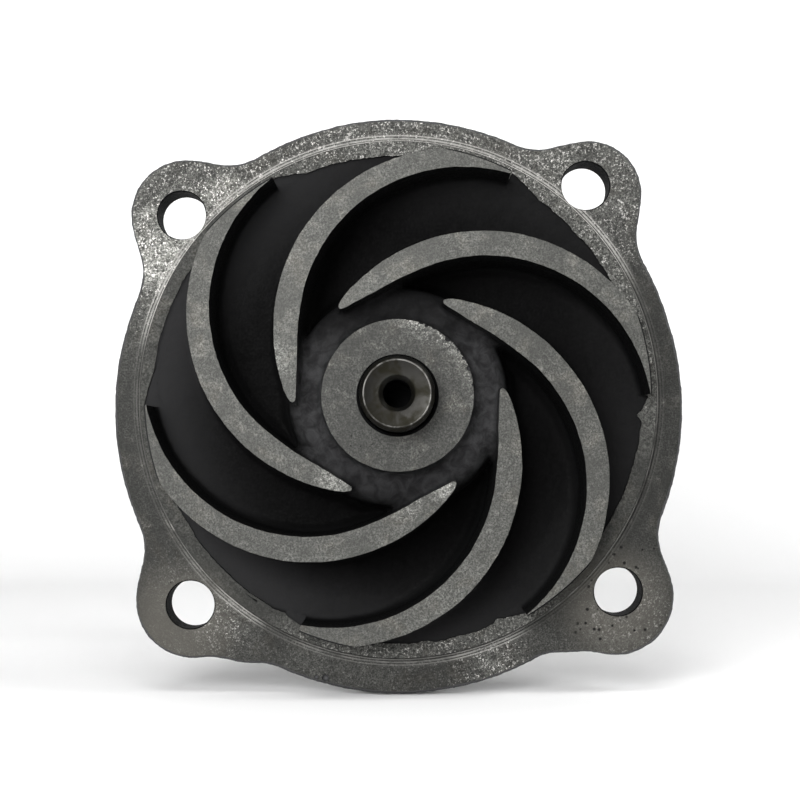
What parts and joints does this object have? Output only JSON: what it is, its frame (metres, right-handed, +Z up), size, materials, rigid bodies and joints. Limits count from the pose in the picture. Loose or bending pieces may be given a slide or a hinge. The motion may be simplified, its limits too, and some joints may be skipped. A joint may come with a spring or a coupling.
{
  "type": "water pump",
  "caption": "Engine coolant pump with a flanged iron housing, open backward-curved impeller, face seal, ball bearing shaft and drive hub.",
  "frame": {"origin": "centre of the shaft's rear end, in the plane of the drive hub's pilot face; the housing's joint face lies at y = -0.088", "axes": "+Y along the pump axis, from the impeller towards the drive hub; +Z up as the pump stands in the picture, with two ears above and two below; +X to the right when looking at the impeller"},
  "size_m": [0.1306, 0.118, 0.1321],
  "materials": {
    "cast_iron": "as-cast grey iron with a coarse grain; the joint face and the recess wall are machined",
    "impeller_iron": "as-cast grey iron, dark in the passages; vane tops, hub face and rim are faced",
    "ground_steel": "ground bearing steel with a faint oily film",
    "bearing_steel": "polished bearing steel",
    "cage_plastic": "moulded glass-filled nylon",
    "seal_rubber": "black nitrile rubber",
    "pressed_brass": "deep-drawn brass",
    "carbon": "pressed carbon with a lapped running face",
    "ceramic": "glazed off-white ceramic with a lapped running face",
    "hub_steel": "turned steel with an oiled surface"
  },
  "bodies": {
    "housing": {"housing": "cast_iron", "bearing_outer_ring": "bearing_steel", "bearing_seal_front": "seal_rubber", "bearing_seal_rear": "seal_rubber", "bearing_clip": "bearing_steel", "seal_case": "pressed_brass", "seal_bellows": "seal_rubber", "seal_spring": "bearing_steel"},
    "rotor": {"shaft": "ground_steel", "impeller": "impeller_iron", "slinger": "seal_rubber", "mating_ring": "ceramic", "mating_ring_cup": "seal_rubber", "drive_hub": "hub_steel"},
    "front_ball_row": {"cage_front": "cage_plastic", "bearing_ball_front_1": "bearing_steel", "bearing_ball_front_2": "bearing_steel", "bearing_ball_front_3": "bearing_steel", "bearing_ball_front_4": "bearing_steel", "bearing_ball_front_5": "bearing_steel", "bearing_ball_front_6": "bearing_steel", "bearing_ball_front_7": "bearing_steel", "bearing_ball_front_8": "bearing_steel"},
    "rear_ball_row": {"cage_rear": "cage_plastic", "bearing_ball_rear_1": "bearing_steel", "bearing_ball_rear_2": "bearing_steel", "bearing_ball_rear_3": "bearing_steel", "bearing_ball_rear_4": "bearing_steel", "bearing_ball_rear_5": "bearing_steel", "bearing_ball_rear_6": "bearing_steel", "bearing_ball_rear_7": "bearing_steel", "bearing_ball_rear_8": "bearing_steel"},
    "seal_face": {"seal_carbon_ring": "carbon", "seal_ring_retainer": "pressed_brass"}
  },
  "joints": [
    {"name": "shaft_spin", "type": "hinge", "parent": "housing", "child": "rotor", "pos_m": [0, 0, 0], "axis": [0, -1, 0], "continuous": true},
    {"name": "front_cage_orbit", "type": "hinge", "parent": "housing", "child": "front_ball_row", "pos_m": [0, -0.057, 0], "axis": [0, -1, 0], "continuous": true},
    {"name": "rear_cage_orbit", "type": "hinge", "parent": "housing", "child": "rear_ball_row", "pos_m": [0, -0.036, 0], "axis": [0, -1, 0], "continuous": true},
    {"name": "seal_face_float", "type": "slide", "parent": "housing", "child": "seal_face", "axis": [0, 1, 0], "range_m": [0, 0.0008], "deforming": ["seal_spring", "seal_bellows"]}
  ],
  "couplings": [
    {"joint": "front_cage_orbit", "follows": "shaft_spin", "ratio": 0.3701},
    {"joint": "rear_cage_orbit", "follows": "shaft_spin", "ratio": 0.3701}
  ]
}
